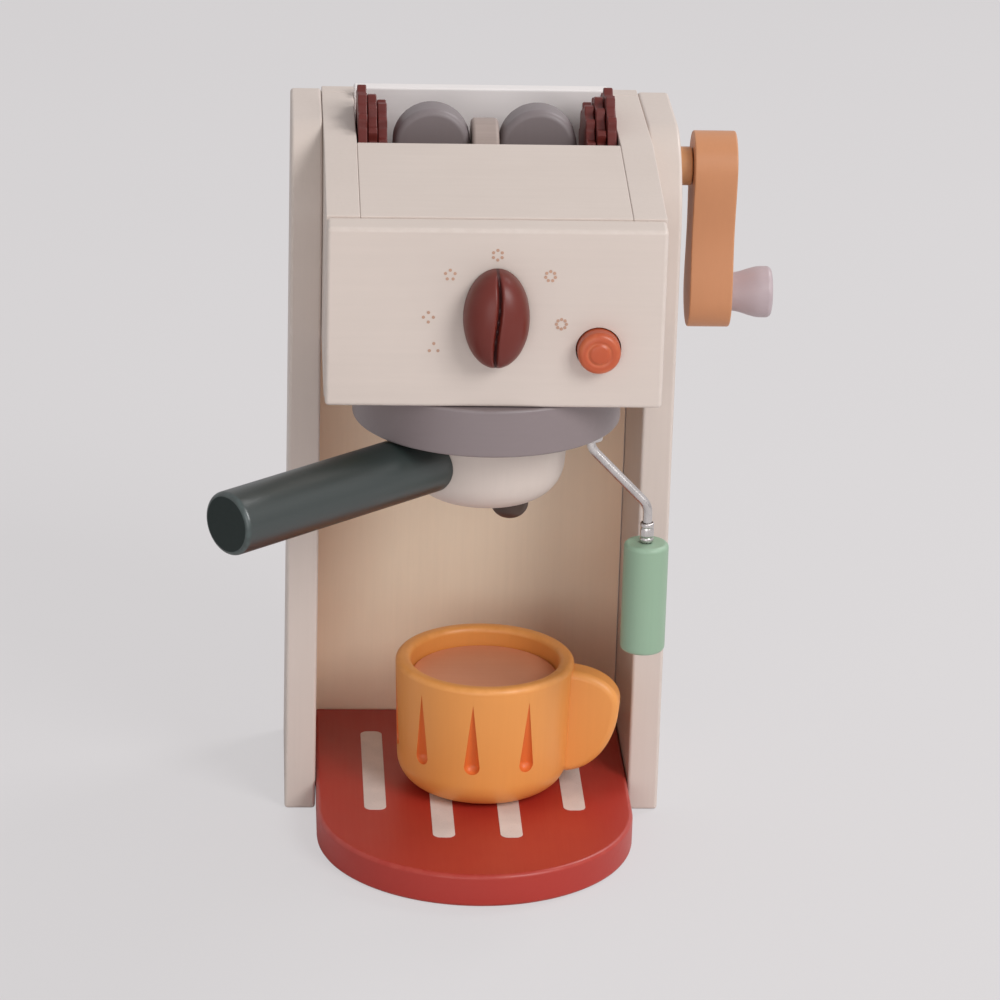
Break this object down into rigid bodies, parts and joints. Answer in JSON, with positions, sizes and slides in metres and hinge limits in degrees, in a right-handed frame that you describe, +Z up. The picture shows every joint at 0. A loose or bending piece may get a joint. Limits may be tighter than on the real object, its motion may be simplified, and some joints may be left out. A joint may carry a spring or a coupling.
{
  "type": "toy coffee maker",
  "caption": "Wooden toy coffee maker with a hand-cranked grinder in an open hopper, turning dial, sprung button, steam wand, twist-in portafilter and a loose cup.",
  "frame": {"origin": "on the underside of the tray, midway between the side panels and in the plane of their front edges", "axes": "+Z up, +X towards the side with the crank, -Y towards the player, where the dial, button and portafilter are"},
  "size_m": [0.1979, 0.1859, 0.2615],
  "materials": {
    "cream_paint": "cream paint over smooth board, satin",
    "bare_wood": "bare beech, sanded",
    "red_paint": "deep red paint, satin",
    "maroon_paint": "maroon paint, satin",
    "orange_paint": "orange paint, satin",
    "button_paint": "red-orange paint, satin",
    "grey_paint": "warm grey paint, satin",
    "lilac_paint": "pale lilac-grey paint, satin",
    "dark_green_paint": "dark green paint, satin",
    "mint_paint": "mint green paint, satin",
    "terracotta_paint": "terracotta paint, satin",
    "apricot_paint": "apricot paint, satin",
    "coffee_paint": "milky coffee brown paint, satin",
    "brown_paint": "dark brown paint, satin",
    "bright_steel": "bright drawn steel"
  },
  "bodies": {
    "housing": {"back_dowel_1": "bare_wood", "back_dowel_2": "bare_wood", "back_dowel_3": "bare_wood", "back_dowel_4": "bare_wood", "back_panel": "cream_paint", "button_spring": "bright_steel", "control_panel": "cream_paint", "drip_tray": "red_paint", "fascia_dowel_1": "bare_wood", "fascia_dowel_2": "bare_wood", "fascia_dowel_3": "bare_wood", "fascia_dowel_4": "bare_wood", "group_head": "grey_paint", "group_head_screw": "bright_steel", "head_cheek_left": "cream_paint", "head_cheek_right": "cream_paint", "head_floor": "bare_wood", "hopper_back_board": "lilac_paint", "hopper_front_board": "bare_wood", "side_panel_left": "cream_paint", "side_panel_right": "cream_paint", "sloping_lid": "cream_paint", "spring_block": "bare_wood", "tray_dowel_1": "bare_wood", "tray_dowel_2": "bare_wood", "tray_dowel_3": "bare_wood", "tray_dowel_4": "bare_wood", "wand_bush": "bright_steel"},
    "crank": {"crank_shaft": "bare_wood", "crank_spacer": "apricot_paint", "crank_arm": "terracotta_paint", "crank_screw": "brown_paint", "knob_pin": "bright_steel", "grinder_paddle_left": "grey_paint", "grinder_paddle_right": "grey_paint", "grinder_hub": "bare_wood", "burr_wheel_left_1": "maroon_paint", "burr_wheel_left_2": "maroon_paint", "burr_wheel_left_3": "maroon_paint", "burr_wheel_right_1": "maroon_paint", "burr_wheel_right_2": "maroon_paint", "burr_wheel_right_3": "maroon_paint"},
    "crank_knob": {"crank_knob": "lilac_paint"},
    "dial": {"selector_dial": "maroon_paint", "dial_spindle": "bare_wood", "dial_retainer": "bare_wood"},
    "button": {"push_button": "button_paint"},
    "portafilter": {"portafilter_basket": "cream_paint", "portafilter_handle": "dark_green_paint", "handle_dowel": "bare_wood", "spout_left": "brown_paint", "spout_right": "brown_paint"},
    "wand": {"wand_wire": "bright_steel", "wand_collar": "bright_steel", "wand_ferrule": "bright_steel", "wand_grip": "mint_paint"},
    "cup": {"cup": "orange_paint"},
    "coffee_disc": {"coffee_insert": "coffee_paint"}
  },
  "joints": [
    {"name": "crank_turn", "type": "hinge", "parent": "housing", "child": "crank", "pos_m": [0, 0.02885, 0.2345], "axis": [1, 0, 0], "continuous": true},
    {"name": "crank_knob_spin", "type": "hinge", "parent": "crank", "child": "crank_knob", "pos_m": [0.0884, 0.02885, 0.1885], "axis": [1, 0, 0], "continuous": true},
    {"name": "dial_turn", "type": "hinge", "parent": "housing", "child": "dial", "pos_m": [0, -0.07, 0.211], "axis": [0, 1, 0], "continuous": true},
    {"name": "button_press", "type": "slide", "parent": "housing", "child": "button", "axis": [0, 1, 0], "range_m": [0, 0.004], "stiffness_N_per_m": 150, "springref_m": -0.004, "deforming": ["button_spring"]},
    {"name": "portafilter_twist", "type": "hinge", "parent": "housing", "child": "portafilter", "pos_m": [0, -0.027, 0.1615], "axis": [0, 0, 1], "range_deg": [-40, 48]},
    {"name": "wand_swing", "type": "hinge", "parent": "housing", "child": "wand", "pos_m": [0.03451, -0.04848, 0.1615], "axis": [0, 0, 1], "range_deg": [-75, 60]},
    {"name": "cup_slide_out", "type": "slide", "parent": "housing", "child": "cup", "axis": [0, -1, 0], "range_m": [0, 0.055]},
    {"name": "coffee_disc_lift", "type": "slide", "parent": "cup", "child": "coffee_disc", "axis": [0, 0, 1], "range_m": [0, 0.03]}
  ]
}
